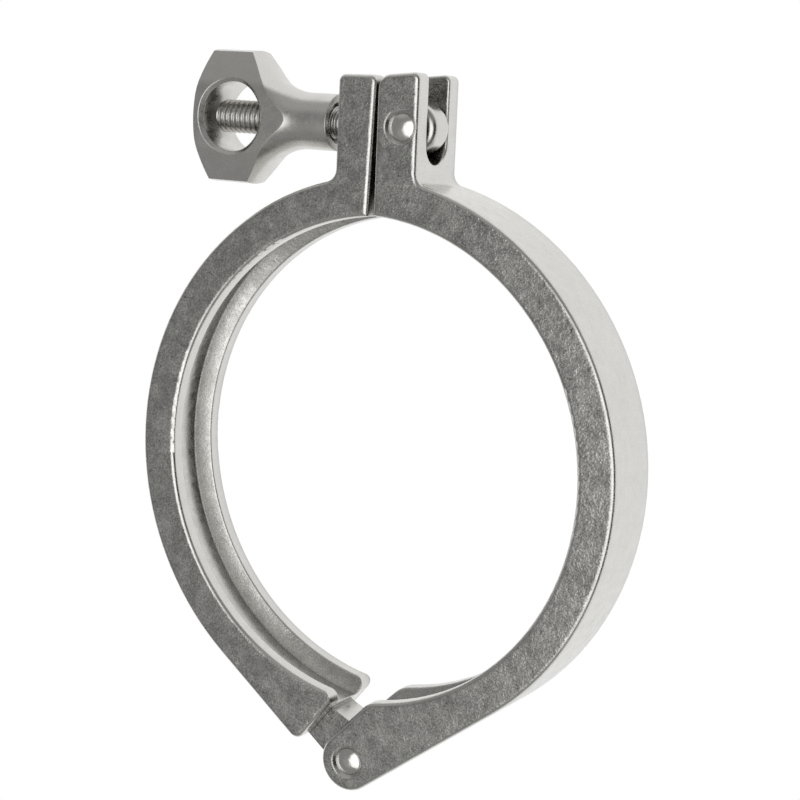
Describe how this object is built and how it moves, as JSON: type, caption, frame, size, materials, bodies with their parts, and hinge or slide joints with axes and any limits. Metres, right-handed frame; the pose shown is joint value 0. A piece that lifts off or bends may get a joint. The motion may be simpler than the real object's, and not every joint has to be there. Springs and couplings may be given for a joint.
{
  "type": "sanitary hinged clamp",
  "caption": "Cast stainless V-groove band clamp in two hinged halves with a swing bolt and wing nut, holding two ferrule flanges together on a pipe joint.",
  "frame": {"origin": "middle of the right half's bore, half way through its width; the clamp lies on its back face, 9.75 mm below", "axes": "+Z along the pipe out of the front face, +Y from the hinge towards the bolt ears, +X towards the right half"},
  "size_m": [0.1257, 0.1726, 0.0196],
  "materials": {
    "cast_stainless": "tumbled casting, satin",
    "turned_stainless": "fine satin",
    "rivet_steel": "peened bright"
  },
  "bodies": {
    "fixed_half": {"right_half": "cast_stainless", "hinge_pin": "rivet_steel", "bolt_pin": "rivet_steel"},
    "hinged_half": {"left_half": "cast_stainless"},
    "bolt": {"swing_bolt": "turned_stainless"},
    "nut": {"wing_nut": "turned_stainless"}
  },
  "joints": [
    {"name": "half_hinge", "type": "hinge", "parent": "fixed_half", "child": "hinged_half", "pos_m": [0.0021, -0.0719, 0], "axis": [0, 0, 1], "range_deg": [0, 8]},
    {"name": "bolt_swing", "type": "hinge", "parent": "fixed_half", "child": "bolt", "pos_m": [0.0093, 0.0769, 0], "axis": [0, 0, -1], "range_deg": [0, 188]},
    {"name": "nut_travel", "type": "slide", "parent": "bolt", "child": "nut", "axis": [-0.9998, 0.0192, 0], "range_m": [0, 0.0184]}
  ],
  "couplings": [
    {"joint": "nut_travel", "follows": "half_hinge", "m_per_rad": 0.1313}
  ]
}
